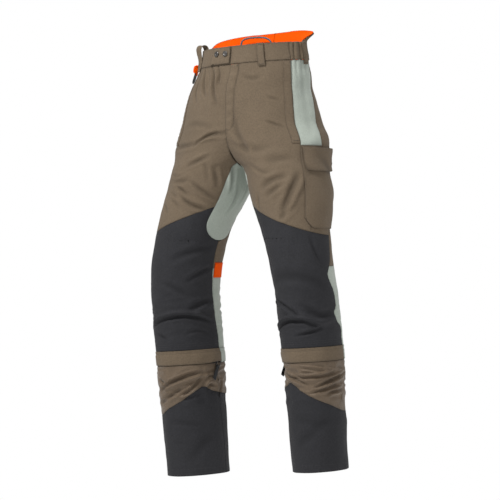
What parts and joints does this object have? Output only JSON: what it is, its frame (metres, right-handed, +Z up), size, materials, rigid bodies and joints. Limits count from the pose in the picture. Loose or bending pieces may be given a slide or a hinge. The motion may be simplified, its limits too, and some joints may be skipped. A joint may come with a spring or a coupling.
{
  "type": "protective work trousers",
  "caption": "Protective trousers with cut guards, stretch panels, cargo pocket, fly zip, waist studs and zip-off lower legs.",
  "frame": {"origin": "middle of the waist opening, level with the front waist edge", "axes": "+Z up towards the waist, the wearer faces -Y, the wearer's left is +X"},
  "size_m": [0.528, 0.2657, 1.114],
  "materials": {
    "taupe_twill": "matte polyester-cotton twill",
    "charcoal_guard": "matte coated guard cloth",
    "sage_stretch": "matte four-way stretch cloth",
    "orange_cloth": "matte polyester cloth",
    "black_tape": "woven tape",
    "grey_lining": "matte lining and felt",
    "dark_nickel": "dark nickel plate",
    "black_plastic": "moulded nylon"
  },
  "bodies": {
    "pelvis": {"waistband_left": "taupe_twill", "waistband_right": "taupe_twill", "stud_posts": "dark_nickel", "elastic_channels": "taupe_twill", "waist_elastics": "black_tape", "back_yoke": "taupe_twill", "yoke_lining": "orange_cloth", "belt_loops": "taupe_twill", "hanger_loop": "grey_lining", "front_rise_left": "taupe_twill", "front_rise_right": "taupe_twill", "seat_panels": "taupe_twill", "hip_stretch": "sage_stretch", "pocket_welts": "taupe_twill", "pocket_bags": "grey_lining", "fly_facing": "taupe_twill", "fly_zip": "black_tape", "ring_strap": "orange_cloth", "cord_loop": "black_tape"},
    "waist_tab": {"waist_tab": "taupe_twill", "stud_caps": "dark_nickel"},
    "fly_slider": {"fly_slider": "dark_nickel"},
    "fly_puller": {"fly_puller": "dark_nickel"},
    "hip_ring": {"hip_ring": "black_plastic"},
    "cargo_flap": {"cargo_flap": "taupe_twill", "cargo_stud_cap": "dark_nickel"},
    "thigh_left": {"front_thigh_left": "taupe_twill", "back_thigh_left": "taupe_twill", "thigh_guard_left": "charcoal_guard", "thigh_inlay_left": "grey_lining", "knee_stretch_left": "sage_stretch", "thigh_patch_left": "orange_cloth", "inner_gusset_left": "sage_stretch", "cargo_pocket": "taupe_twill", "cargo_stud_post": "dark_nickel"},
    "shin_left": {"knee_guard_left": "charcoal_guard", "knee_inlay_left": "grey_lining", "zip_flap_left": "taupe_twill", "upper_zip_left": "black_tape"},
    "lower_left": {"lower_zip_left": "black_tape", "shin_panel_left": "taupe_twill", "gaiter_left": "charcoal_guard"},
    "leg_slider_left": {"leg_slider_left": "dark_nickel"},
    "leg_tab_left": {"leg_tab_left": "black_tape"},
    "thigh_right": {"front_thigh_right": "taupe_twill", "back_thigh_right": "taupe_twill", "thigh_guard_right": "charcoal_guard", "thigh_inlay_right": "grey_lining", "knee_stretch_right": "sage_stretch", "thigh_patch_right": "orange_cloth", "inner_gusset_right": "sage_stretch"},
    "shin_right": {"knee_guard_right": "charcoal_guard", "knee_inlay_right": "grey_lining", "zip_flap_right": "taupe_twill", "upper_zip_right": "black_tape"},
    "lower_right": {"lower_zip_right": "black_tape", "shin_panel_right": "taupe_twill", "gaiter_right": "charcoal_guard"},
    "leg_slider_right": {"leg_slider_right": "dark_nickel"},
    "leg_tab_right": {"leg_tab_right": "black_tape"}
  },
  "joints": [
    {"name": "hip_left", "type": "hinge", "parent": "pelvis", "child": "thigh_left", "pos_m": [0.1, -0.1185, -0.252], "axis": [-1, 0, 0], "range_deg": [0, 45], "stiffness_Nm_per_rad": 1.5, "springref_deg": -17.19},
    {"name": "knee_left", "type": "hinge", "parent": "thigh_left", "child": "shin_left", "pos_m": [0.178, -0.019, -0.64091], "axis": [1, 0, 0], "range_deg": [0, 60], "stiffness_Nm_per_rad": 0.6, "springref_deg": -17.19, "deforming": ["knee_stretch_left"]},
    {"name": "leg_off_left", "type": "slide", "parent": "shin_left", "child": "lower_left", "axis": [0, 0.1292, -0.9916], "range_m": [0, 0.085], "stiffness_N_per_m": 45, "springref_m": -0.02},
    {"name": "leg_zip_left", "type": "hinge", "parent": "shin_left", "child": "leg_slider_left", "pos_m": [0.22069, 0.00091, -0.76379], "axis": [0, 0, 1], "range_deg": [0, 24]},
    {"name": "leg_pull_left", "type": "hinge", "parent": "leg_slider_left", "child": "leg_tab_left", "pos_m": [0.10085, -0.00517, -0.7858], "axis": [0.0181, 0.8828, -0.4695], "range_deg": [0, 80]},
    {"name": "hip_right", "type": "hinge", "parent": "pelvis", "child": "thigh_right", "pos_m": [-0.1, -0.1185, -0.252], "axis": [-1, 0, 0], "range_deg": [0, 45], "stiffness_Nm_per_rad": 1.5, "springref_deg": -17.19},
    {"name": "knee_right", "type": "hinge", "parent": "thigh_right", "child": "shin_right", "pos_m": [-0.178, -0.019, -0.65164], "axis": [1, 0, 0], "range_deg": [0, 60], "stiffness_Nm_per_rad": 0.6, "springref_deg": -17.19, "deforming": ["knee_stretch_right"]},
    {"name": "leg_off_right", "type": "slide", "parent": "shin_right", "child": "lower_right", "axis": [0, 0.1292, -0.9916], "range_m": [0, 0.085], "stiffness_N_per_m": 45, "springref_m": -0.02},
    {"name": "leg_zip_right", "type": "hinge", "parent": "shin_right", "child": "leg_slider_right", "pos_m": [-0.22069, 0.00091, -0.77847], "axis": [0, 0, -1], "range_deg": [0, 24]},
    {"name": "leg_pull_right", "type": "hinge", "parent": "leg_slider_right", "child": "leg_tab_right", "pos_m": [-0.10085, -0.00517, -0.80048], "axis": [0.0181, -0.8828, 0.4695], "range_deg": [0, 80]},
    {"name": "waist_tab_open", "type": "hinge", "parent": "pelvis", "child": "waist_tab", "pos_m": [0, -0.1045, -0.022], "axis": [0, 0, 1], "range_deg": [0, 70]},
    {"name": "fly_slide", "type": "slide", "parent": "pelvis", "child": "fly_slider", "axis": [0, 0, -1], "range_m": [0, 0.13], "stiffness_N_per_m": 2, "springref_m": -0.05},
    {"name": "fly_pull", "type": "hinge", "parent": "fly_slider", "child": "fly_puller", "pos_m": [0, -0.0973, -0.0645], "axis": [-1, 0, 0], "range_deg": [0, 14]},
    {"name": "cargo_flap_lift", "type": "hinge", "parent": "thigh_left", "child": "cargo_flap", "pos_m": [0.21137, 0.005, -0.257], "axis": [0, -1, 0], "range_deg": [0, 110], "stiffness_Nm_per_rad": 0.03, "springref_deg": -17.19},
    {"name": "hip_ring_swing", "type": "hinge", "parent": "pelvis", "child": "hip_ring", "pos_m": [-0.14656, -0.03594, -0.06664], "axis": [-0.377, 0.9262, 0], "range_deg": [0, 80]}
  ]
}
